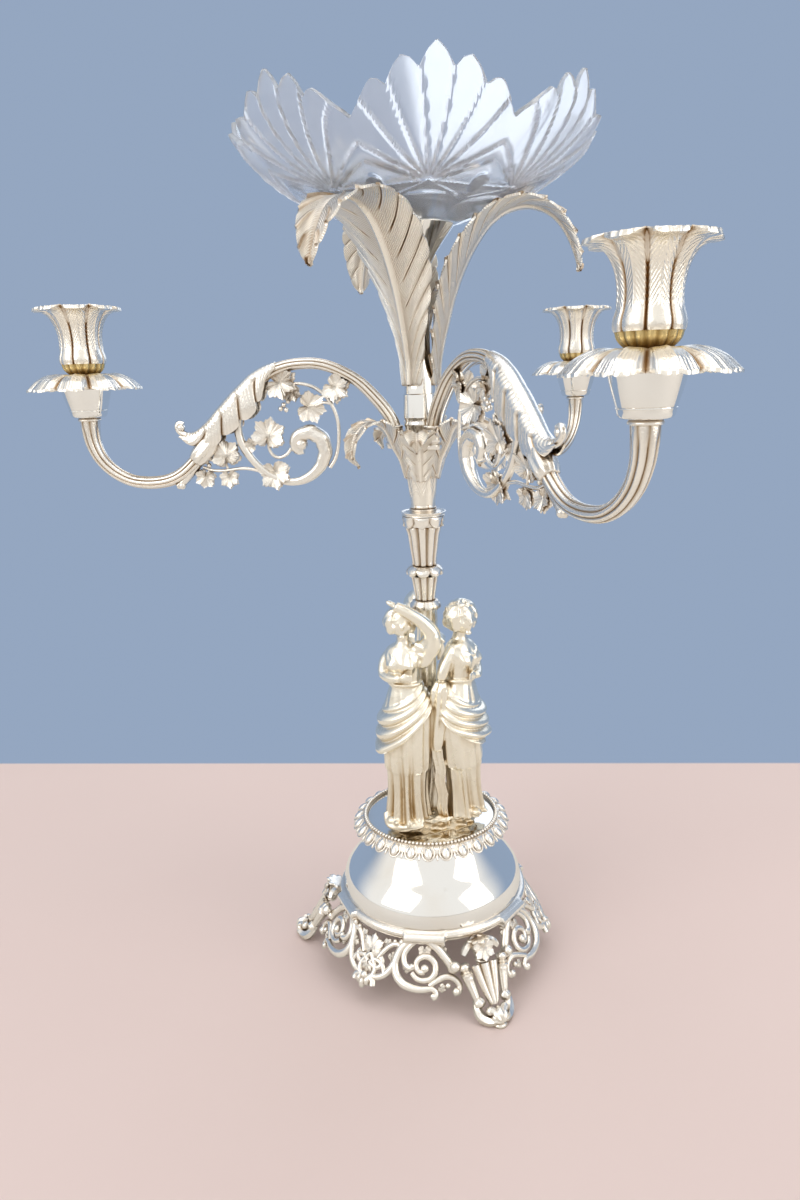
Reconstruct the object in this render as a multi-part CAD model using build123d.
from build123d import *
import os
from math import atan2, cos, degrees, hypot, pi, radians, sin

os.makedirs("parts", exist_ok=True)

# Silver-plated table candelabra: three scrolled branches and a cut-glass bowl on a figure group.
# Millimetres. +Z is up, the origin is on the table at the centre of the three feet.
# The left branch reaches along -X, the other two stand 120 degrees from it.

# ---- layout around the axis, in degrees ----
BRANCHES = {"left": 180.0, "front": 300.0, "back": 60.0}
BAYS = {"front_left": 240.0, "right": 0.0, "back_left": 120.0}
FIGURE_TURN = -15.0        # the figures stand this far round from the middle of their bay

# ---- fits ----
FIT = 0.06                 # radial clearance of a spigot that lifts out
GLASS_GAP = 0.4            # radial clearance round the glass peg
ROD_GAP = 0.3              # radial clearance round the tie rod
AIR_GAP = 0.5              # smallest gap kept between pieces that part

# ---- levels, each the height of one piece of the stack ----
APRON_H = 46.0
RIM_H = 8.0
DOME_H = 50.0
PLATE_T = 4.5
ROCK_H = 8.5
TRUNK_H = 152.0
COLLAR_H = 7.0
LOW_SHAFT_H = 18.0
HIGH_SHAFT_H = 28.0
CAPITAL_H = 12.0
BELL_H = 41.0
HUB_H = 9.0
NECK_H = 11.0
SLEEVE_H = 16.0
SPIGOT_H = 16.0
STEM_H = 82.0
SOCKET_H = 23.0
BOWL_H = 71.0

# ---- base ----
FOOT_REACH = 106.5
PAD_R = 5.0
FOOT_W = 13.0
TOE_R = 8.0
PILLAR_R = 4.2
PANEL_REACH = 88.0
PANEL_DROP = 30.5
PANEL_T = 3.2
SCROLL_W = 3.4
RIM_R = 69.5
RIM_W = 9.5
TAB_W = 30.0
TAB_OUT = 3.0
SHOULDER_R = 67.5
NECK_R = 42.0
DOME_WALL = 1.8
EGG_R = 57.9
EGG_COUNT = 30
EGG_D = 7.6
EGG_H = 10.5
PLATE_R = 47.5
BEAD_D = 3.0
ROCK_R = 22.0
ROCK_LOBE_R = 13.0

# ---- stem ----
ROD_R = 2.5
ROD_TAIL = 13.0
NUT_R = 6.0
NUT_H = 6.0
WASHER_R = 20.0
WASHER_T = 3.0
TRUNK_FOOT_R = 10.0
TRUNK_TOP_R = 7.5
FLUTES = 12
FLUTE_R = 1.5
LOW_COLLAR_R = 11.0
MID_COLLAR_R = 12.6
CAPITAL_R = 15.5
LOW_SHAFT_FOOT_R = 7.0
LOW_SHAFT_TOP_R = 10.0
HIGH_SHAFT_FOOT_R = 8.8
HIGH_SHAFT_TOP_R = 12.4
BELL_FOOT_R = 8.5
BELL_TOP_R = 15.0
HUB_R = 13.0
SOCKET_R0 = 18.5           # how far the branch sockets stand from the axis
BOSS_R = 6.0
PIN_R = 3.2
PIN_H = 7.0
NECK_IN_R = 10.0
SLEEVE_R = 11.8
SPIGOT_R = 8.0

# ---- leaves ----
LEAF_T = 1.6
LONG_LEAF_REACH = 104.5
LONG_LEAF_W = 50.0
LONG_LEAF_FALL = 40.0
LONG_LEAF_LOBES = 6
RIB_H = 1.4
RIB_W = 2.2
DROOP_LEAF_REACH = 50.0
DROOP_LEAF_W = 19.0
SHORT_LEAF_REACH = 35.0
SHORT_LEAF_W = 17.0

# ---- figures ----
FIGURE_H = 158.0
FIGURE_R0 = 25.0           # how far a figure's spine stands from the axis
FIGURE_W = 30.0
FIGURE_D = 21.0
HEAD_H = 26.0
HEAD_W = 20.0
LIMB_R = 3.6

# ---- branches ----
REACH = 235.0
ARCH_RISE = 42.5           # top of the arch above the branch's foot
SAG = 35.5                 # lowest point of the branch below its foot
FOOT_COLLAR_H = 7.0
TUBE_FOOT_R = 4.4
TUBE_TOP_R = 3.7
TUBE_LOW_R = 4.4
TUBE_END_R = 7.0
CUP_LIFT = 10.0            # underside of the cup above the branch's foot
VOLUTE_BALL_R = 5.0
TENDRIL_R = 1.2
VINE_T = 2.0
VINE_LEAF = 0.0485         # a vine leaf's length as a share of the branch's span

# ---- candle lights ----
CANDLE_D = 22.0
CANDLE_GAP = 0.5
CUP_H = 19.5
CUP_TOP_R = 16.8
CUP_FOOT_R = 10.5
CUP_WALL = 1.4
PAN_R = 38.9
PAN_H = 9.5
PAN_T = 1.6
PAN_DROP = 3.0
PAN_LOBES = 9
PEG_R = 7.0
PEG_H = 12.0
NOZZLE_H = 46.0
NOZZLE_FOOT_R = 8.8
NOZZLE_BULB_R = 15.2
NOZZLE_WAIST_R = 13.2
NOZZLE_RIM_R = 28.6
NOZZLE_LOBES = 8
BORE_DEPTH = 24.0

# ---- bowl ----
SPRAY_FERRULE_R = 10.8
SPRAY_FERRULE_H = 10.0
STEM_R = 7.2
DISH_R = 24.0
DISH_T = 2.0
GLASS_PEG_R = 9.0
GLASS_PEG_H = 14.0
BOWL_R = 112.0
BOWL_WALL = 5.0
BOWL_FLOOR_T = 12.0
PETAL_GROUPS = 7
PETAL_TURN = -78.0
PETAL_FLUTES = 5
PETAL_STEP = 17.0
FLUTE_DEPTH = 1.3
PETAL_DIP = 31.0           # how far the valley between two groups lies below the highest tip

# ---- heights worked out from the stack ----
RIM_Z = APRON_H
DOME_Z = RIM_Z + RIM_H
PLATE_Z = DOME_Z + DOME_H
ROCK_Z = PLATE_Z + PLATE_T
TRUNK_Z = ROCK_Z + ROCK_H
LOW_COLLAR_Z = TRUNK_Z + TRUNK_H
LOW_SHAFT_Z = LOW_COLLAR_Z + COLLAR_H
MID_COLLAR_Z = LOW_SHAFT_Z + LOW_SHAFT_H
HIGH_SHAFT_Z = MID_COLLAR_Z + COLLAR_H
CAPITAL_Z = HIGH_SHAFT_Z + HIGH_SHAFT_H
BELL_Z = CAPITAL_Z + CAPITAL_H
HUB_Z = BELL_Z + BELL_H
HUB_TOP = HUB_Z + HUB_H
SLEEVE_Z = HUB_TOP + NECK_H
FERRULE_Z = SLEEVE_Z + SLEEVE_H
SOCKET_Z = FERRULE_Z + STEM_H
BOWL_Z = SOCKET_Z + SOCKET_H
BRANCH_Z = HUB_TOP + FOOT_COLLAR_H
CUP_Z = BRANCH_Z + CUP_LIFT
PAN_Z = CUP_Z + CUP_H
NOZZLE_Z = PAN_Z + PAN_H
BORE_Z = NOZZLE_Z + NOZZLE_H - BORE_DEPTH - 14.0
ROD_HOLE_R = ROD_R + ROD_GAP


# ---------------------------------------------------------------- helpers
def upright(curve):
    """A curve drawn as (distance from the axis, height), stood in the XZ plane."""
    return Plane.XZ * curve


def turned(*edges):
    """A body of revolution about Z from edges that close an outline of (radius, height)."""
    outline = edges[0]
    for edge in edges[1:]:
        outline = outline + edge
    return revolve(make_face(upright(outline)), Axis.Z)


def turned_points(*points):
    """A body of revolution about Z from a straight-sided outline of (radius, height)."""
    return turned(Polyline(*points, close=True))


def disc(radius, height, z):
    """A plain round piece standing on height z."""
    return Pos(0, 0, z) * Cylinder(radius, height, align=(Align.CENTER, Align.CENTER, Align.MIN))


def ring(outer, inner, height, z):
    """A plain tube standing on height z."""
    return disc(outer, height, z) - disc(inner, height, z)


def bored(solid, radius=ROD_HOLE_R):
    """The solid with a hole along the axis for the tie rod."""
    return solid - Cylinder(radius, 4 * BOWL_Z)


def at_angle(solid, angle):
    """A piece modelled along +X, turned to its place round the axis."""
    return Rot(0, 0, angle) * solid


def lofted(sections):
    """A loft through the sections, taken from whichever end makes the solid face outward."""
    solid = loft(sections)
    return solid if solid.volume > 0 else loft(sections[::-1])


def tapered_bar(points, radii):
    """A round bar along a smooth path of (distance, height) in the XZ plane, with a radius per point."""
    path = Spline(*[(x, 0, z) for x, z in points])
    steps = [hypot(b[0] - a[0], b[1] - a[1]) for a, b in zip(points, points[1:])]
    total = sum(steps)
    sections = []
    for index, radius in enumerate(radii):
        t = sum(steps[:index]) / total
        plane = Plane(origin=path @ t, x_dir=(0, 1, 0), z_dir=path % t)
        sections.append(plane * Circle(radius))
    return lofted(sections)


def strip(points, width):
    """A flat strip of one width along a smooth path of (distance, height), as a face."""
    return trace(Spline(*points), line_width=width)


def save(shape, name):
    """Write one sub-part."""
    shape.label = name
    export_step(shape, "parts/" + name + ".step")


# ---------------------------------------------------------------- base
BAY_HALF = PANEL_REACH * sin(radians(30))


def bay_point(across, down):
    """A point of the pierced border: shares of half a bay from its tab, and of its drop below the rim."""
    return across * BAY_HALF, RIM_Z - down * PANEL_DROP


def border_shell():
    """The flared band that the pierced border and its scrolls are cut from."""
    top, low = RIM_R - 0.5, PANEL_REACH + 0.2 * (PANEL_REACH - RIM_R)
    low_z = RIM_Z - 1.2 * PANEL_DROP
    return turned_points((top, RIM_Z), (low, low_z), (low - PANEL_T, low_z), (top - PANEL_T, RIM_Z))


def border_half(side):
    """Half a bay's scrollwork, as a flat face: a big C-scroll, its inner ring and eye, and side scrolls."""
    runs = [
        [(-0.23, 0.0), (-0.39, 0.26), (-0.46, 0.52), (-0.39, 0.8), (-0.18, 0.95), (0.08, 1.0), (0.18, 1.12)],
        [(0.11, 0.0), (0.3, 0.24), (0.44, 0.52)],
        [(-0.2, 0.02), (-0.34, 0.22), (-0.33, 0.42), (-0.22, 0.5), (-0.14, 0.42)],
        [(0.08, 0.97), (0.25, 0.78), (0.42, 0.84), (0.45, 1.02)],
        [(-0.45, 0.36), (-0.56, 0.6), (-0.72, 0.78), (-0.9, 0.84)],
    ]
    face = Sketch()
    rail = 0.08 * PANEL_DROP
    face += Pos(side * -0.19 * BAY_HALF, RIM_Z - rail / 2) * Rectangle(1.2 * BAY_HALF, rail)
    for run in runs:
        face += strip([bay_point(side * across, down) for across, down in run], SCROLL_W)
    ring_at = bay_point(side * 0.0, 0.55)
    face += Pos(*ring_at) * (Circle(0.24 * PANEL_DROP) - Circle(0.24 * PANEL_DROP - SCROLL_W * 0.8))
    for across, down, size in ((0.44, 0.52, 1.0), (0.38, 1.04, 0.9), (-0.9, 0.84, 0.8), (-0.12, 0.06, 0.9)):
        face += Pos(*bay_point(side * across, down)) * Circle(SCROLL_W * size)
    return face


def vine_outline(size):
    """A vine leaf's flat outline: five pointed lobes round a stalk."""
    corners = []
    for angle, reach in ((-90, 0.18), (-62, 0.62), (-20, 0.86), (-2, 0.5), (32, 0.92), (62, 0.52), (90, 1.0)):
        corners.append((angle, reach))
    mirrored = [(180 - angle, reach) for angle, reach in corners[::-1][1:-1]]
    points = []
    for angle, reach in corners + mirrored:
        points.append((size * reach * cos(radians(angle)), size * reach * sin(radians(angle))))
    return make_face(Polyline(*points, close=True))


def border_panel():
    """One bay of the pierced border, pendant leaf in the middle, modelled round +X."""
    shell = border_shell()
    outward = PANEL_REACH + 20
    panel = None
    for side in (-1, 1):
        flat = Plane(origin=(0, 0, 0), x_dir=(0, 1, 0), z_dir=(1, 0, 0)) * border_half(side)
        half = Rot(0, 0, side * 30) * (shell & extrude(flat, outward))
        panel = half if panel is None else panel + half
    tip = 1.0
    pendant = [(-0.2, 0.5), (-0.16, 0.82), (0.0, tip), (0.16, 0.82), (0.2, 0.5)]
    middle = make_face(Polyline(*[bay_point(across, down) for across, down in pendant], close=True))
    middle += Pos(*bay_point(0, 0.36)) * vine_outline(0.4 * PANEL_DROP)
    middle += Pos(*bay_point(0, 0.06)) * Rectangle(0.5 * BAY_HALF, 0.12 * PANEL_DROP)
    middle += strip([bay_point(a, d) for a, d in ((-0.12, 0.86), (-0.2, 0.8), (-0.32, 0.8))], SCROLL_W)
    middle += strip([bay_point(a, d) for a, d in ((0.12, 0.86), (0.2, 0.8), (0.32, 0.8))], SCROLL_W)
    flat = Plane(origin=(0, 0, 0), x_dir=(0, 1, 0), z_dir=(1, 0, 0)) * middle
    return panel + (shell & extrude(flat, outward))


def scroll_foot():
    """One foot: three pillars that run down to a scrolled toe on a flat pad, modelled along +X."""
    root = RIM_R - 1.0
    knee = (FOOT_REACH - 14.0, TOE_R + 4.0)
    foot = None
    for spread, slim in ((0.0, 1.0), (-1.0, 0.75), (1.0, 0.75)):
        top = Vector(root, spread * FOOT_W, RIM_Z - PILLAR_R)
        low = Vector(knee[0], spread * FOOT_W * 0.35, knee[1])
        run = low - top
        plane = Plane(origin=top, z_dir=run)
        pillar = plane * loft([Circle(PILLAR_R * slim), Pos(0, 0, run.length) * Circle(PILLAR_R * slim * 0.72)])
        pillar += plane * Pos(0, 0, run.length * 0.42) * Cylinder(PILLAR_R * slim * 1.25, 2.4)
        foot = pillar if foot is None else foot + pillar
    toe = tapered_bar([(knee[0] - 4, knee[1] + 3), (FOOT_REACH - 7, TOE_R - 1.5), (FOOT_REACH, TOE_R - 2.2),
                       (FOOT_REACH + 5.5, TOE_R + 0.5), (FOOT_REACH + 4, TOE_R + 5)], [4.5, 5.2, 5.0, 3.6, 2.2])
    pad = Pos(FOOT_REACH, 0, 0) * Cylinder(PAD_R, TOE_R - 2, align=(Align.CENTER, Align.CENTER, Align.MIN))
    cap = Pos(root, 0, RIM_Z) * Box(4.0, 2 * FOOT_W + 5, 4.0, align=(Align.MAX, Align.CENTER, Align.MAX))
    whole = foot + toe + pad + cap
    block = Box(4 * FOOT_REACH, 4 * FOOT_REACH, RIM_Z)
    return whole - Pos(0, 0, -RIM_Z / 2) * block - Pos(0, 0, 1.5 * RIM_Z) * block


def base_rim():
    """The moulded rim that carries the border, with six flat tabs where the scrolls meet it."""
    inner = RIM_R - RIM_W
    middle = RIM_Z + 0.45 * RIM_H
    outline = Line((inner, DOME_Z), (inner, RIM_Z)) + Line((inner, RIM_Z), (RIM_R, RIM_Z))
    outline += ThreePointArc((RIM_R, RIM_Z), (RIM_R + 0.9, (RIM_Z + middle) / 2), (RIM_R, middle))
    outline += ThreePointArc((RIM_R, middle), (RIM_R - 0.9, middle + 0.4 * RIM_H), (RIM_R - 3.2, DOME_Z))
    outline += Line((RIM_R - 3.2, DOME_Z), (inner, DOME_Z))
    rim = revolve(make_face(upright(outline)), Axis.Z)
    for angle in BRANCHES.values():
        for turn in (-30, 30):
            tab = Pos(RIM_R - RIM_W / 2, 0, RIM_Z) * Box(RIM_W / 2 + TAB_OUT, TAB_W, 0.35 * RIM_H,
                                                       align=(Align.MIN, Align.CENTER, Align.MIN))
            rim += at_angle(tab, angle + turn)
    return rim


def plinth_dome():
    """The polished ogee body: a spun shell, open below, that narrows to the neck under the plate."""
    heights = (0.0, 0.14, 0.34, 0.48, 0.58, 0.72, 0.86, 1.0)
    shares = (1.0, 0.985, 0.81, 0.56, 0.34, 0.12, 0.01, 0.0)
    outer = [(NECK_R + share * (SHOULDER_R - NECK_R), DOME_Z + height * DOME_H)
             for height, share in zip(heights, shares)]
    inner = [(radius - DOME_WALL, height - (DOME_WALL if 0.2 < share < 0.9 else 0.0))
             for (radius, height), share in zip(outer, shares)]
    outside, inside = Spline(*outer), Spline(*inner)
    return turned(outside, Line(outside @ 1, inside @ 1), inside, Line(inside @ 0, outside @ 0))


def egg_ring():
    """The egg-and-dart border round the plate."""
    low = PLATE_Z - 5.0
    top = ROCK_Z + 0.5
    inner = NECK_R + AIR_GAP
    body = turned_points((inner, low), (EGG_R - 6, low + 1.5), (EGG_R - 3, PLATE_Z + 1), (EGG_R - 5, top - 1),
                         (PLATE_R, top), (PLATE_R, PLATE_Z), (inner, PLATE_Z))
    lean = Plane(origin=(EGG_R - 4.6, 0, (low + top) / 2), x_dir=(0, 1, 0), z_dir=(1, 0, 0.35))
    half_h = (EGG_H - EGG_D) / 2
    drop = Pos(0, half_h) * Circle(EGG_D / 2) + Pos(0, -half_h) * Circle(EGG_D / 2) + Rectangle(EGG_D, 2 * half_h)
    egg = lean * extrude(drop, 3.2)
    return body + [at_angle(egg, 360 / EGG_COUNT * index) for index in range(EGG_COUNT)]


def bead_ring():
    """The beaded wire inside the eggs."""
    return Pos(0, 0, ROCK_Z + 0.5 + BEAD_D / 2) * Torus(PLATE_R + BEAD_D / 2, BEAD_D / 2)


def mirror_plate():
    """The polished stage under the figures."""
    return bored(disc(PLATE_R, PLATE_T, PLATE_Z))


def rock_plinth():
    """The cast rock the figures stand on: a rough mound with a lobe under each figure."""
    rock = disc(ROCK_R, ROCK_H, ROCK_Z)
    for angle in BAYS.values():
        lobe = loft([Pos(0, 0, ROCK_Z) * RegularPolygon(ROCK_LOBE_R, 7),
                     Pos(0, 0, TRUNK_Z) * Rot(0, 0, 18) * RegularPolygon(ROCK_LOBE_R - 1.5, 7)])
        rock += at_angle(Pos(FIGURE_R0, 0, 0) * lobe, angle + FIGURE_TURN)
    return bored(rock)


def tie_rod():
    """The rod through the stem that clamps the whole stack."""
    return disc(ROD_R, SLEEVE_Z + 4 - (PLATE_Z - ROD_TAIL), PLATE_Z - ROD_TAIL)


def tie_washer():
    """The wide washer under the plate."""
    return bored(disc(WASHER_R, WASHER_T, PLATE_Z - WASHER_T))


def tie_nut():
    """The hexagon nut on the rod's lower end."""
    nut = extrude(RegularPolygon(NUT_R, 6), NUT_H)
    return Pos(0, 0, PLATE_Z - WASHER_T - NUT_H) * nut - Cylinder(ROD_R, 4 * BOWL_Z)


# ---------------------------------------------------------------- stem
def trunk():
    """The post the figures stand against, hidden behind their drapery."""
    outline = Line((0, TRUNK_Z), (TRUNK_FOOT_R, TRUNK_Z))
    side = Spline((TRUNK_FOOT_R, TRUNK_Z), (TRUNK_FOOT_R - 2.2, TRUNK_Z + 0.2 * TRUNK_H),
                  (TRUNK_TOP_R, TRUNK_Z + 0.6 * TRUNK_H), (TRUNK_TOP_R, LOW_COLLAR_Z))
    outline += side + Line((TRUNK_TOP_R, LOW_COLLAR_Z), (0, LOW_COLLAR_Z)) + Line((0, LOW_COLLAR_Z), (0, TRUNK_Z))
    return bored(revolve(make_face(upright(outline)), Axis.Z))


def scalloped_collar(radius, foot_radius, height, z, lobes):
    """A flared collar with a scalloped lower edge, the joint between two shafts."""
    cup = Pos(0, 0, z) * loft([Circle(foot_radius), Pos(0, 0, height * 0.45) * Circle(radius)])
    cup += disc(radius, height * 0.3, z + height * 0.45)
    cup += Pos(0, 0, z + height * 0.75) * loft([Circle(radius), Pos(0, 0, height * 0.25) * Circle(radius - 2.2)])
    notch_r = 0.9 * pi * radius / lobes
    notch = Pos(radius + notch_r * 0.45, 0, z) * Cylinder(notch_r * 0.8, height * 0.9)
    return bored(cup - [at_angle(notch, 360 / lobes * (index + 0.5)) for index in range(lobes)])


def fluted_shaft(foot_radius, top_radius, height, z):
    """A tapered shaft with grooves down it."""
    shaft = Pos(0, 0, z) * loft([Circle(foot_radius), Pos(0, 0, height) * Circle(top_radius)])
    lean = degrees(atan2(top_radius - foot_radius, height))
    groove = Pos(foot_radius + 0.5, 0, z + 1.5) * Rot(0, lean, 0) * Cylinder(
        FLUTE_R * foot_radius / LOW_SHAFT_TOP_R, height - 4, align=(Align.CENTER, Align.CENTER, Align.MIN))
    return bored(shaft - [at_angle(groove, 360 / FLUTES * index) for index in range(FLUTES)])


def capital():
    """The cup-shaped capital: a scalloped band under a dished top."""
    band = 0.55 * CAPITAL_H
    body = Pos(0, 0, CAPITAL_Z) * loft([Circle(HIGH_SHAFT_TOP_R), Pos(0, 0, band) * Circle(CAPITAL_R - 1)])
    body += disc(CAPITAL_R - 1, 0.2 * CAPITAL_H, CAPITAL_Z + band)
    body += disc(CAPITAL_R, 0.1 * CAPITAL_H, CAPITAL_Z + 0.75 * CAPITAL_H)
    body += disc(BELL_FOOT_R + 1, 0.15 * CAPITAL_H, CAPITAL_Z + 0.85 * CAPITAL_H)
    return bored(body)


def blade(stations, thickness, rib=0.0):
    """A cupped leaf along a path: each station is (distance, height, width, cup). A rib stands on its middle."""
    path = Spline(*[(x, 0, z) for x, z, width, cup in stations])
    steps = [hypot(b[0] - a[0], b[1] - a[1]) for a, b in zip(stations, stations[1:])]
    total = sum(steps)
    sections = []
    for index, (x, z, width, cup) in enumerate(stations):
        t = sum(steps[:index]) / total
        half = width / 2
        outline = ThreePointArc((-half, cup), (0, 0), (half, cup))
        outline += Line((half, cup), (half, cup + thickness))
        if rib:
            slim = min(RIB_W, 0.3 * half)
            side_z = thickness + cup * (slim / half) ** 2
            outline += ThreePointArc((half, cup + thickness), (half / 2, thickness + cup / 4), (slim, side_z))
            outline += Line((slim, side_z), (0, thickness + rib)) + Line((0, thickness + rib), (-slim, side_z))
            outline += ThreePointArc((-slim, side_z), (-half / 2, thickness + cup / 4), (-half, cup + thickness))
        else:
            outline += ThreePointArc((half, cup + thickness), (0, thickness), (-half, cup + thickness))
        outline += Line((-half, cup + thickness), (-half, cup))
        plane = Plane(origin=path @ t, x_dir=(0, 1, 0), z_dir=path % t)
        sections.append(plane * make_face(outline))
    return lofted(sections)


def calyx_leaf(reach, width, rise, fall):
    """A leaf of the lower calyx, springing from the bell, arching out and down, along +X."""
    start = BELL_TOP_R - 3.0
    clear = SOCKET_R0 + BOSS_R + LEAF_T
    top = HUB_TOP + rise
    stations = [
        (start, HUB_Z - 17, width * 0.44, 1.2),
        (0.45 * start + 0.55 * clear, HUB_Z - 8, width * 0.8, 2.0),
        (clear, HUB_Z + 1, width * 0.9, 1.5),
        (clear + 2.5, HUB_TOP + 0.35 * rise, width, 1.2),
        (0.45 * clear + 0.55 * reach, top, width, 0.8),
        (reach, top - 0.42 * fall, width * 0.7, 0.8),
        (reach - 2.5, top - fall, 1.5, 0.1),
    ]
    return blade(stations, LEAF_T)


def calyx():
    """The trumpet above the capital that carries the hub and the drooping leaves."""
    side = Spline((BELL_FOOT_R, BELL_Z), (BELL_FOOT_R + 0.2, BELL_Z + 0.2 * BELL_H),
                  (BELL_FOOT_R + 2.5, BELL_Z + 0.6 * BELL_H), (BELL_TOP_R, HUB_Z))
    outline = Line((0, BELL_Z), (BELL_FOOT_R, BELL_Z)) + side
    outline += Line((BELL_TOP_R, HUB_Z), (0, HUB_Z)) + Line((0, HUB_Z), (0, BELL_Z))
    return bored(revolve(make_face(upright(outline)), Axis.Z))


def arm_hub():
    """The three-armed socket piece that the branches plug into."""
    hub = disc(HUB_R, HUB_H, HUB_Z)
    for angle in BRANCHES.values():
        boss = Pos(SOCKET_R0, 0, HUB_Z) * Cylinder(BOSS_R, HUB_H, align=(Align.CENTER, Align.CENTER, Align.MIN))
        web = Pos(SOCKET_R0 / 2, 0, HUB_Z + HUB_H / 2) * Box(SOCKET_R0, BOSS_R, HUB_H)
        hole = Pos(SOCKET_R0, 0, HUB_TOP) * Cylinder(PIN_R + FIT, PIN_H + AIR_GAP,
                                                    align=(Align.CENTER, Align.CENTER, Align.MAX))
        hub += at_angle(boss + web, angle)
        hub -= at_angle(hole, angle)
    return bored(hub)


def neck_sleeve():
    """The polished sleeve above the hub, threaded on the tie rod, with the spigot for the leaf spray."""
    body = disc(NECK_IN_R, NECK_H, HUB_TOP) + disc(SLEEVE_R, SLEEVE_H, SLEEVE_Z)
    body += disc(SPIGOT_R, SPIGOT_H - AIR_GAP, FERRULE_Z)
    hole = disc(ROD_R, NECK_H + 4, HUB_TOP)
    return body - hole


# ---------------------------------------------------------------- figures
def ellipse_at(x, y, z, half_w, half_d):
    """A level section of a figure: half its width across and half its depth."""
    return Pos(x, y, z) * Ellipse(half_d, half_w)


def limb(points, radii):
    """A smooth tapering arm through its joints."""
    path = Spline(*points)
    sections = []
    for index, radius in enumerate(radii):
        t = index / (len(radii) - 1)
        sections.append(Plane(origin=path @ t, z_dir=path % t) * Circle(radius * LIMB_R))
    return lofted(sections)


def figure(limbs, lean):
    """A draped standing figure facing +X: robe, overskirt, head and arms, on the rock's top."""
    w, d, h = FIGURE_W / 2, FIGURE_D / 2, FIGURE_H
    shares = ((0.0, 0.86, 1.0, 0.0), (0.14, 0.74, 0.86, 0.0), (0.32, 0.84, 0.84, 0.5), (0.5, 1.08, 0.98, 1.0),
              (0.655, 0.62, 0.66, 0.4), (0.75, 0.82, 0.82, 0.0), (0.81, 0.86, 0.6, -0.3), (0.86, 0.26, 0.3, -0.6))
    sections = [ellipse_at(0, lean * sway, share * h, across * w, deep * d) for share, across, deep, sway in shares]
    body = loft(sections)
    half_head = HEAD_H / 2
    face = Spline((0, -half_head), (HEAD_W * 0.37, -0.6 * half_head), (HEAD_W / 2, 0.15 * half_head),
                  (HEAD_W * 0.32, 0.78 * half_head), (0, half_head), tangents=((1, 0), (-1, 0)))
    head = revolve(make_face(upright(face + Line((0, half_head), (0, -half_head)))), Axis.Z)
    hem = Plane(origin=(0, 0, 0.4 * h), z_dir=(0, 0.34, 1)) * extrude(Ellipse(1.04 * d, 1.13 * w), 0.09 * h)
    parts = [Pos(0.5, -0.6 * lean, h - half_head) * head, hem]
    for path, radii in limbs:
        parts.append(limb([(x * FIGURE_D, y * FIGURE_W, z * h) for x, y, z in path], radii))
    return body + parts


def figures():
    """The three figures, each with its own gesture, in place round the trunk."""
    waist_arm = ([(0.0, -0.36, 0.79), (0.12, -0.55, 0.68), (0.5, -0.1, 0.66)], (1.1, 1.0, 0.8))
    raised_arm = ([(0.0, 0.34, 0.78), (0.2, 0.62, 0.9), (0.26, -0.3, 1.03)], (1.1, 1.0, 0.8))
    hanging_arm = ([(0.0, -0.36, 0.79), (0.1, -0.6, 0.67), (0.3, -0.5, 0.56)], (1.1, 1.0, 0.8))
    resting_arm = ([(0.0, 0.36, 0.79), (0.05, 0.56, 0.67), (0.44, 0.34, 0.6)], (1.1, 1.0, 0.8))
    poses = {
        "front_left": ((waist_arm, raised_arm), 1.5),
        "right": ((hanging_arm, resting_arm), -1.5),
        "back_left": ((hanging_arm, resting_arm), 1.5),
    }
    made = {}
    core = disc(TRUNK_FOOT_R + 0.2, TRUNK_H + 60, TRUNK_Z)
    collar = disc(LOW_COLLAR_R + 0.6, COLLAR_H + 40, LOW_COLLAR_Z - 1)
    for name, angle in BAYS.items():
        limbs, lean = poses[name]
        placed = at_angle(Pos(FIGURE_R0, 0, TRUNK_Z) * figure(limbs, lean), angle + FIGURE_TURN)
        made[name] = placed - core - collar
    return made


# ---------------------------------------------------------------- branches
def span_point(u, v):
    """A point of a branch: u runs from its socket to the candle's axis, v is 1 at the arch, -1 at the sag."""
    return SOCKET_R0 + u * (REACH - SOCKET_R0), BRANCH_Z + v * (ARCH_RISE if v > 0 else SAG)


def branch_tube():
    """The reeded main bar: pin and collar, arch, acanthus sheath and the sweep up to the cup."""
    drawn = [(0.0, -0.02, TUBE_FOOT_R), (0.012, 0.15, TUBE_FOOT_R), (0.053, 0.42, TUBE_FOOT_R * 0.95),
             (0.12, 0.76, TUBE_TOP_R * 1.05), (0.2, 0.955, TUBE_TOP_R), (0.285, 1.0, TUBE_TOP_R),
             (0.375, 0.92, TUBE_TOP_R), (0.45, 0.68, 5.4), (0.53, 0.27, 6.0), (0.6, -0.22, 5.2),
             (0.665, -0.68, 4.6), (0.74, -0.95, TUBE_LOW_R), (0.82, -1.0, TUBE_LOW_R),
             (0.9, -0.88, TUBE_LOW_R), (0.965, -0.58, TUBE_LOW_R * 1.1), (0.993, -0.27, TUBE_LOW_R * 1.25)]
    points = [span_point(u, v) for u, v, radius in drawn]
    radii = [radius for u, v, radius in drawn]
    points.append((REACH, CUP_Z - 6.0))
    radii.append(TUBE_END_R * 0.93)
    bar = tapered_bar(points, radii)
    end = Pos(REACH, 0, CUP_Z) * Cylinder(TUBE_END_R, 7.0, align=(Align.CENTER, Align.CENTER, Align.MAX))
    collar = Pos(SOCKET_R0, 0, HUB_TOP) * Cylinder(BOSS_R - 0.2, FOOT_COLLAR_H + 1,
                                                  align=(Align.CENTER, Align.CENTER, Align.MIN))
    pin = Pos(SOCKET_R0, 0, HUB_TOP) * Cylinder(PIN_R, PIN_H, align=(Align.CENTER, Align.CENTER, Align.MAX))
    return bar + [end, collar, pin]


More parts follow.
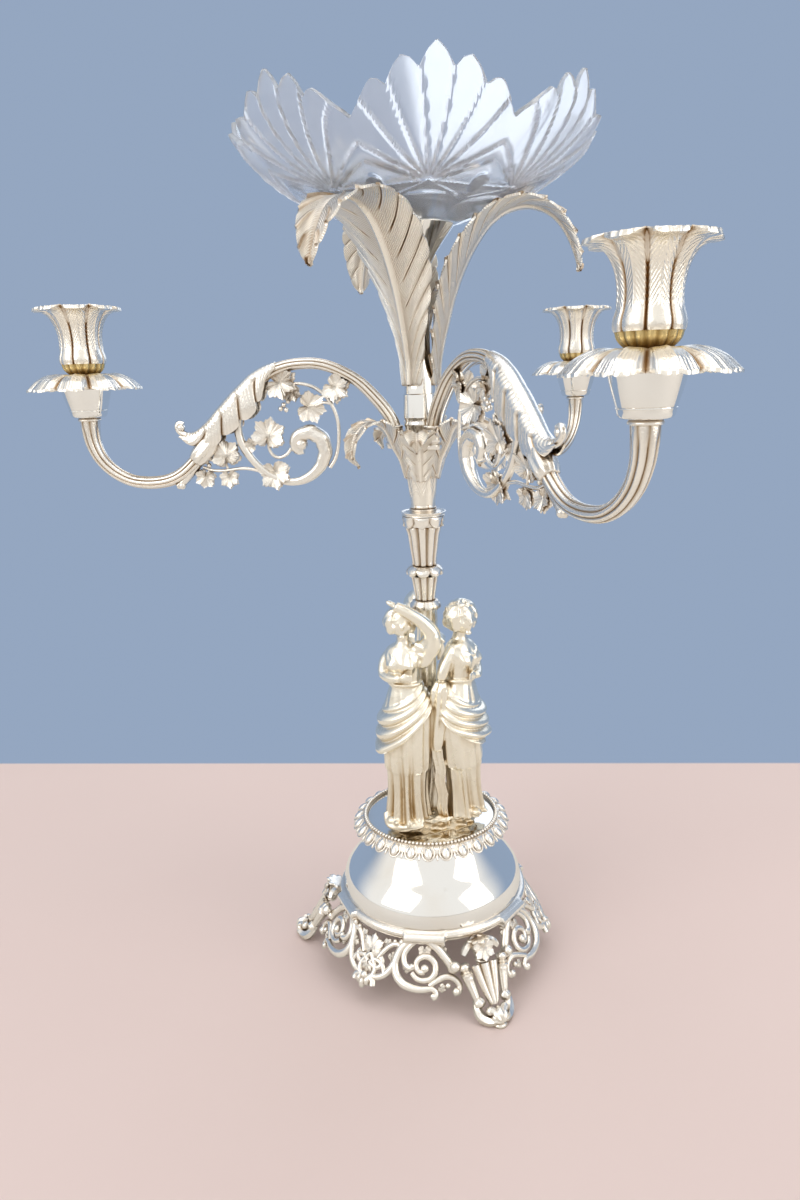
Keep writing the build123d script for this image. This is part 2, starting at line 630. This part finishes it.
def branch_volute():
    """The inner C-scroll that springs from the sheath and curls to a ball, with the two small spurs."""
    curl = [(0.47, 0.5, 3.2), (0.5, 0.2, 3.2), (0.503, -0.02, 3.0), (0.49, -0.26, 2.8), (0.467, -0.52, 2.7),
            (0.435, -0.76, 2.5), (0.395, -0.95, 2.4), (0.353, -1.04, 2.6), (0.312, -1.02, 3.2), (0.27, -0.9, 3.9),
            (0.238, -0.7, 4.4), (0.226, -0.44, 4.7), (0.233, -0.2, 4.3), (0.265, -0.1, 3.8), (0.295, -0.15, 3.4),
            (0.308, -0.27, 3.2)]
    volute = tapered_bar([span_point(u, v) for u, v, r in curl], [r for u, v, r in curl])
    ball_x, ball_z = span_point(0.308, -0.34)
    volute += Pos(ball_x, 0, ball_z) * Sphere(VOLUTE_BALL_R)
    high = [(0.56, 0.1, 3.0), (0.62, -0.06, 2.4), (0.672, -0.1, 2.0), (0.7, 0.0, 1.8)]
    volute += tapered_bar([span_point(u, v) for u, v, r in high], [r for u, v, r in high])
    end_x, end_z = span_point(0.695, 0.05)
    volute += Pos(end_x, 0, end_z) * Sphere(2.8)
    low = [(0.64, -0.62, 3.0), (0.68, -0.92, 2.4), (0.707, -1.04, 2.0)]
    volute += tapered_bar([span_point(u, v) for u, v, r in low], [r for u, v, r in low])
    end_x, end_z = span_point(0.707, -1.1)
    volute += Pos(end_x, 0, end_z) * Sphere(3.0)
    return volute


def tendril(points, radius):
    """A thin round wire of the vine."""
    return tapered_bar([span_point(u, v) for u, v in points], [radius] * len(points))


def vine_spray():
    """The vine that fills the scroll: wire tendrils with leaves standing in the branch's plane."""
    main = tendril([(0.22, -0.75), (0.187, -0.42), (0.178, -0.1), (0.185, 0.2), (0.215, 0.48), (0.26, 0.63),
                    (0.31, 0.68), (0.345, 0.69)], TENDRIL_R)
    others = [
        tendril([(0.195, 0.36), (0.235, 0.42), (0.272, 0.36)], 0.8 * TENDRIL_R),
        tendril([(0.318, -0.2), (0.345, -0.46), (0.375, -0.56), (0.4, -0.42), (0.402, -0.25)], TENDRIL_R),
        tendril([(0.42, -0.85), (0.47, -0.78), (0.54, -0.76), (0.6, -0.78), (0.63, -0.85)], TENDRIL_R),
    ]
    leaves = ((0.19, 0.57, 0.9, 30), (0.272, 0.36, 1.0, 200), (0.36, 0.67, 1.05, 10), (0.404, -0.2, 1.1, 75),
              (0.392, -0.88, 1.05, 250), (0.55, -0.54, 1.0, 60), (0.545, -0.92, 0.62, 250), (0.625, -0.9, 0.62, 300))
    for u, v, share, turn in leaves:
        x, z = span_point(u, v)
        flat = Pos(x, z) * Rot(0, 0, turn) * vine_outline(share * VINE_LEAF * (REACH - SOCKET_R0))
        others.append(extrude(upright(flat), VINE_T / 2, both=True))
    return main + others


def candle_cup():
    """The plain polished cup screwed on the branch's end, its socket taking the nozzle's peg."""
    top, foot = CUP_TOP_R, CUP_FOOT_R
    outline = Line((0, CUP_Z), (foot - 2, CUP_Z))
    outline += ThreePointArc((foot - 2, CUP_Z), (foot + 0.6, CUP_Z + 1.0), (foot + 2.2, CUP_Z + 4.5))
    outline += Line((foot + 2.2, CUP_Z + 4.5), (top, PAN_Z))
    outline += Line((top, PAN_Z), (0, PAN_Z)) + Line((0, PAN_Z), (0, CUP_Z))
    cup = revolve(make_face(upright(outline)), Axis.Z)
    return cup - disc(PEG_R + FIT, PEG_H + AIR_GAP, PAN_Z - PEG_H - AIR_GAP)


def drip_pan():
    """The drooping leaf-shaped drip pan with a hole for the nozzle's peg."""
    edge_z = PAN_Z - PAN_DROP
    seat = (NOZZLE_FOOT_R + 1, NOZZLE_Z)
    outer = Spline(seat, (0.62 * PAN_R, NOZZLE_Z - 0.3 * PAN_H), (PAN_R, edge_z), tangents=((1, 0), (0.6, -1)))
    under = Spline((PAN_R - 0.4, edge_z - PAN_T), (0.7 * PAN_R, NOZZLE_Z - 0.42 * PAN_H - PAN_T),
                   (CUP_TOP_R + 0.8, PAN_Z + 2.0))
    outline = Line((0, PAN_Z), (0, NOZZLE_Z)) + Line((0, NOZZLE_Z), seat) + outer
    outline += Line((PAN_R, edge_z), under @ 0) + under
    outline += Line((CUP_TOP_R + 0.8, PAN_Z + 2.0), (CUP_TOP_R - 1, PAN_Z)) + Line((CUP_TOP_R - 1, PAN_Z), (0, PAN_Z))
    pan = revolve(make_face(upright(outline)), Axis.Z)
    bite_r = 0.5 * pi * PAN_R / PAN_LOBES
    bite = Pos(PAN_R + 0.35 * bite_r, 0, PAN_Z) * Cylinder(bite_r, 6 * PAN_H)
    pan -= [at_angle(bite, 360 / PAN_LOBES * index) for index in range(PAN_LOBES)]
    return pan - disc(PEG_R + FIT, 2 * PAN_H, PAN_Z - 1)


def nozzle():
    """The candle nozzle: fluted bulb, waist and a flared leafy rim round a plain bore, on a peg."""
    bulb_z = NOZZLE_Z + 0.2 * NOZZLE_H
    waist_z = NOZZLE_Z + 0.48 * NOZZLE_H
    rim_z = NOZZLE_Z + NOZZLE_H
    bore_r = CANDLE_D / 2 + CANDLE_GAP
    mouth_z = BORE_Z + BORE_DEPTH
    outer = Spline((NOZZLE_FOOT_R, NOZZLE_Z), (NOZZLE_BULB_R, bulb_z), (NOZZLE_WAIST_R, waist_z),
                   (NOZZLE_WAIST_R + 3.5, NOZZLE_Z + 0.75 * NOZZLE_H), (NOZZLE_RIM_R, rim_z))
    inner = Spline((NOZZLE_RIM_R - 1.6, rim_z), (NOZZLE_WAIST_R + 3.0, NOZZLE_Z + 0.82 * NOZZLE_H),
                   (bore_r, mouth_z))
    outline = Line((0, NOZZLE_Z), (NOZZLE_FOOT_R, NOZZLE_Z)) + outer + Line(outer @ 1, inner @ 0) + inner
    outline += Line((bore_r, mouth_z), (bore_r, BORE_Z)) + Line((bore_r, BORE_Z), (0, BORE_Z))
    outline += Line((0, BORE_Z), (0, NOZZLE_Z))
    body = revolve(make_face(upright(outline)), Axis.Z)
    bite_r = 0.42 * pi * NOZZLE_RIM_R / NOZZLE_LOBES
    bite = Pos(NOZZLE_RIM_R + 0.55 * bite_r, 0, rim_z) * Cylinder(bite_r, NOZZLE_H)
    body -= [at_angle(bite, 360 / NOZZLE_LOBES * index) for index in range(NOZZLE_LOBES)]
    peg = disc(PEG_R, PEG_H + PAN_H, NOZZLE_Z - PAN_H - PEG_H)
    return body + peg


# ---------------------------------------------------------------- leaf spray and bowl
def spray_stem():
    """The lift-off stem of the leaf spray, its ferrule slipping over the spigot."""
    ferrule_top = FERRULE_Z + SPRAY_FERRULE_H
    outline = Line((0, FERRULE_Z), (SPRAY_FERRULE_R, FERRULE_Z))
    outline += Line((SPRAY_FERRULE_R, FERRULE_Z), (SPRAY_FERRULE_R, ferrule_top))
    outline += Spline((SPRAY_FERRULE_R, ferrule_top), (STEM_R + 2.6, ferrule_top + 7), (STEM_R, SOCKET_Z - 38),
                      (STEM_R, SOCKET_Z))
    outline += Line((STEM_R, SOCKET_Z), (0, SOCKET_Z)) + Line((0, SOCKET_Z), (0, FERRULE_Z))
    stem = revolve(make_face(upright(outline)), Axis.Z)
    return stem - disc(SPIGOT_R + FIT, SPIGOT_H, FERRULE_Z)


def bowl_socket():
    """The polished dish on the stem that the glass bowl stands in."""
    peg_hole = GLASS_PEG_R + GLASS_GAP
    outer = Spline((STEM_R + 2, SOCKET_Z), (STEM_R + 6, SOCKET_Z + 0.35 * SOCKET_H),
                   (DISH_R - 3, SOCKET_Z + 0.72 * SOCKET_H), (DISH_R, BOWL_Z - 1.5))
    inner = Spline((DISH_R - DISH_T, BOWL_Z), (DISH_R - 7, BOWL_Z - 3.5), (peg_hole, BOWL_Z - 5.5))
    floor_z = BOWL_Z - GLASS_PEG_H - AIR_GAP
    outline = Line((0, SOCKET_Z), (STEM_R + 2, SOCKET_Z)) + outer + Line(outer @ 1, (DISH_R, BOWL_Z))
    outline += Line((DISH_R, BOWL_Z), (DISH_R - DISH_T, BOWL_Z)) + inner
    outline += Line((peg_hole, BOWL_Z - 5.5), (peg_hole, floor_z)) + Line((peg_hole, floor_z), (0, floor_z))
    outline += Line((0, floor_z), (0, SOCKET_Z))
    return revolve(make_face(upright(outline)), Axis.Z)


def long_leaf():
    """One long acanthus leaf: up round the stem, arching over under the bowl, tip hanging, along +X."""
    foot_z = FERRULE_Z + SPRAY_FERRULE_H
    foot_x = SPRAY_FERRULE_R + LEAF_T
    top_z = BOWL_Z + 8.0
    rise = top_z - foot_z
    stretch = LONG_LEAF_REACH - foot_x
    wide = LONG_LEAF_W
    stations = [
        (foot_x, foot_z - 2, 13.0, 1.6),
        (foot_x + 0.01 * stretch, foot_z + 0.12 * rise, 16.0, 4.0),
        (foot_x + 0.05 * stretch, foot_z + 0.32 * rise, wide * 0.46, 5.0),
        (foot_x + 0.12 * stretch, foot_z + 0.56 * rise, wide * 0.7, 6.0),
        (foot_x + 0.23 * stretch, foot_z + 0.77 * rise, wide * 0.96, 6.0),
        (foot_x + 0.38 * stretch, foot_z + 0.93 * rise, wide, 4.0),
        (foot_x + 0.55 * stretch, top_z, wide * 0.84, 2.0),
        (foot_x + 0.74 * stretch, top_z - 0.07 * LONG_LEAF_FALL, wide * 0.62, 1.5),
        (foot_x + 0.91 * stretch, top_z - 0.45 * LONG_LEAF_FALL, wide * 0.42, 1.2),
        (LONG_LEAF_REACH, top_z - LONG_LEAF_FALL, 2.0, 0.2),
    ]
    return blade(stations, LEAF_T, RIB_H) - lobe_slits(stations, LONG_LEAF_LOBES)


def lobe_slits(stations, lobes):
    """The narrow wedges between a leaf's lobes, on both edges, leaning back towards the leaf's foot."""
    path = Spline(*[(x, 0, z) for x, z, width, cup in stations])
    slits = []
    for index in range(1, lobes):
        share = 0.22 + 0.68 * index / lobes
        station = min(int(share * len(stations)), len(stations) - 2)
        half = stations[station][2] / 2
        along = path % share
        flat = Plane(origin=path @ share, x_dir=(0, 1, 0), z_dir=(-along.Z, 0, along.X))
        for side in (-1, 1):
            wedge = [(side * 0.5 * half, 0.3 * half), (side * 1.1 * half, -0.2 * half), (side * 1.1 * half, -0.38 * half)]
            slits.append(flat * extrude(make_face(Polyline(*wedge, close=True)), half / 2, both=True))
    return slits


def crown_line(valley, notch_deep):
    """Half the outline of a petal group's tips: lateral share of the group and depth below its top tip."""
    return [(0.0, 0.0), (0.19, notch_deep), (0.38, 0.2 * valley), (0.55, 0.2 * valley + notch_deep),
            (0.7, 0.62 * valley), (0.86, 0.66 * valley + notch_deep * 0.4), (1.0, valley)]


def petal_flute(wall, turn):
    """One hollow cut of a petal group: it runs up the bowl's wall from the group's star, turned from upright."""
    star = 0.42
    sections, centres = [], []
    for out in (0.1, 0.35, 0.65, 1.1):
        run = out * (1 - star) * wall.length
        share = min(star + run * cos(radians(turn)) / wall.length, 1.0)
        at, along = wall @ share, wall % share
        half_w = run * sin(radians(0.5 * PETAL_STEP))
        radius = half_w ** 2 / (2 * FLUTE_DEPTH) + FLUTE_DEPTH
        stand = radius - FLUTE_DEPTH
        spin = degrees(run * sin(radians(turn)) / at.X)
        centres.append((Rot(0, 0, spin) * Pos(at.X + along.Y * stand, 0, at.Y - along.X * stand), radius))
    places = [place.position for place, radius in centres]
    for index, (place, radius) in enumerate(centres):
        ahead = places[min(index + 1, len(places) - 1)] - places[max(index - 1, 0)]
        sections.append(Plane(origin=places[index], z_dir=ahead) * Circle(radius))
    return lofted(sections)


def glass_bowl():
    """The cut-glass bowl: a thick-floored shell whose rim is cut in groups of pointed petals, on a peg."""
    rise = BOWL_H / 71.0
    outside = [(DISH_R, 0), (45, 6.5), (62, 13.5), (75, 20.0), (86, 28.5), (95, 38.0), (102, 48.0), (108, 59.0)]
    outer = [(r * BOWL_R / 112.0 if r != DISH_R else r, BOWL_Z + z * rise) for r, z in outside]
    outer.append((BOWL_R, BOWL_Z + BOWL_H))
    inner = [(BOWL_R - BOWL_WALL * 0.6, BOWL_Z + BOWL_H)]
    for radius, height in outer[6:1:-2]:
        inner.append((radius - BOWL_WALL, height + 2.5))
    inner.append((0, BOWL_Z + BOWL_FLOOR_T))
    skin, lining = Spline(*outer), Spline(*inner, tangents=((-0.3, -1), (-1, 0)))
    outline = Line((0, BOWL_Z), (DISH_R, BOWL_Z)) + skin + Line(skin @ 1, lining @ 0) + lining
    outline += Line(lining @ 1, (0, BOWL_Z))
    bowl = revolve(make_face(upright(outline)), Axis.Z)
    half = BOWL_R * sin(pi / PETAL_GROUPS)
    line = crown_line(PETAL_DIP, 9.0)
    points = [(-across * half, BOWL_Z + BOWL_H - down) for across, down in line[::-1]]
    points += [(across * half, BOWL_Z + BOWL_H - down) for across, down in line[1:]]
    points += [(half, BOWL_Z + BOWL_H + 5), (-half, BOWL_Z + BOWL_H + 5)]
    above = Plane(origin=(BOWL_R * 0.6, 0, 0), x_dir=(0, 1, 0), z_dir=(1, 0, 0)) * make_face(Polyline(*points, close=True))
    cutter = extrude(above, BOWL_R * 0.6)
    flutes = [petal_flute(skin, PETAL_STEP * (index - (PETAL_FLUTES - 1) / 2)) for index in range(PETAL_FLUTES)]
    for index in range(PETAL_GROUPS):
        turn = PETAL_TURN + 360 / PETAL_GROUPS * index
        bowl -= [at_angle(flute, turn) for flute in flutes]
        bowl -= at_angle(cutter, turn)
    peg = disc(GLASS_PEG_R, GLASS_PEG_H, BOWL_Z - GLASS_PEG_H)
    return bowl + peg


# ---------------------------------------------------------------- writing the parts
def main():
    """Make every sub-part and write it."""
    save(base_rim(), "base_rim")
    save(plinth_dome(), "plinth_dome")
    save(egg_ring(), "egg_ring")
    save(bead_ring(), "bead_ring")
    save(mirror_plate(), "mirror_plate")
    save(rock_plinth(), "rock_plinth")
    save(tie_rod(), "tie_rod")
    save(tie_washer(), "tie_washer")
    save(tie_nut(), "tie_nut")
    save(trunk(), "figure_trunk")
    save(scalloped_collar(LOW_COLLAR_R, TRUNK_TOP_R, COLLAR_H, LOW_COLLAR_Z, 8), "low_collar")
    save(fluted_shaft(LOW_SHAFT_FOOT_R, LOW_SHAFT_TOP_R, LOW_SHAFT_H, LOW_SHAFT_Z), "low_shaft")
    save(scalloped_collar(MID_COLLAR_R, LOW_SHAFT_TOP_R, COLLAR_H, MID_COLLAR_Z, 8), "middle_collar")
    save(fluted_shaft(HIGH_SHAFT_FOOT_R, HIGH_SHAFT_TOP_R, HIGH_SHAFT_H, HIGH_SHAFT_Z), "high_shaft")
    save(capital(), "capital")
    save(calyx(), "calyx")
    save(arm_hub(), "arm_hub")
    save(neck_sleeve(), "neck_sleeve")
    save(spray_stem(), "spray_stem")
    save(bowl_socket(), "bowl_socket")
    save(glass_bowl(), "glass_bowl")
    droop = calyx_leaf(DROOP_LEAF_REACH, DROOP_LEAF_W, 10.5, 30.0)
    short = calyx_leaf(SHORT_LEAF_REACH, SHORT_LEAF_W, 6.0, 15.0)
    panel, leaf = border_panel(), long_leaf()
    people = figures()
    for name, angle in BAYS.items():
        save(at_angle(panel, angle), "border_" + name)
        save(at_angle(leaf, angle), "long_leaf_" + name)
        save(people[name], "figure_" + name)
    foot, branch, vine = scroll_foot(), branch_tube() + branch_volute(), vine_spray()
    light = {"cup": candle_cup(), "pan": drip_pan(), "nozzle": nozzle()}
    for name, angle in BRANCHES.items():
        save(at_angle(foot, angle), "foot_" + name)
        save(at_angle(branch, angle), "branch_" + name)
        save(at_angle(vine, angle), "vine_" + name)
        save(at_angle(droop, angle + 30), "droop_leaf_" + name)
        save(at_angle(short, angle - 30), "short_leaf_" + name)
        for piece, solid in light.items():
            save(at_angle(Pos(REACH, 0, 0) * solid, angle), piece + "_" + name)


main()
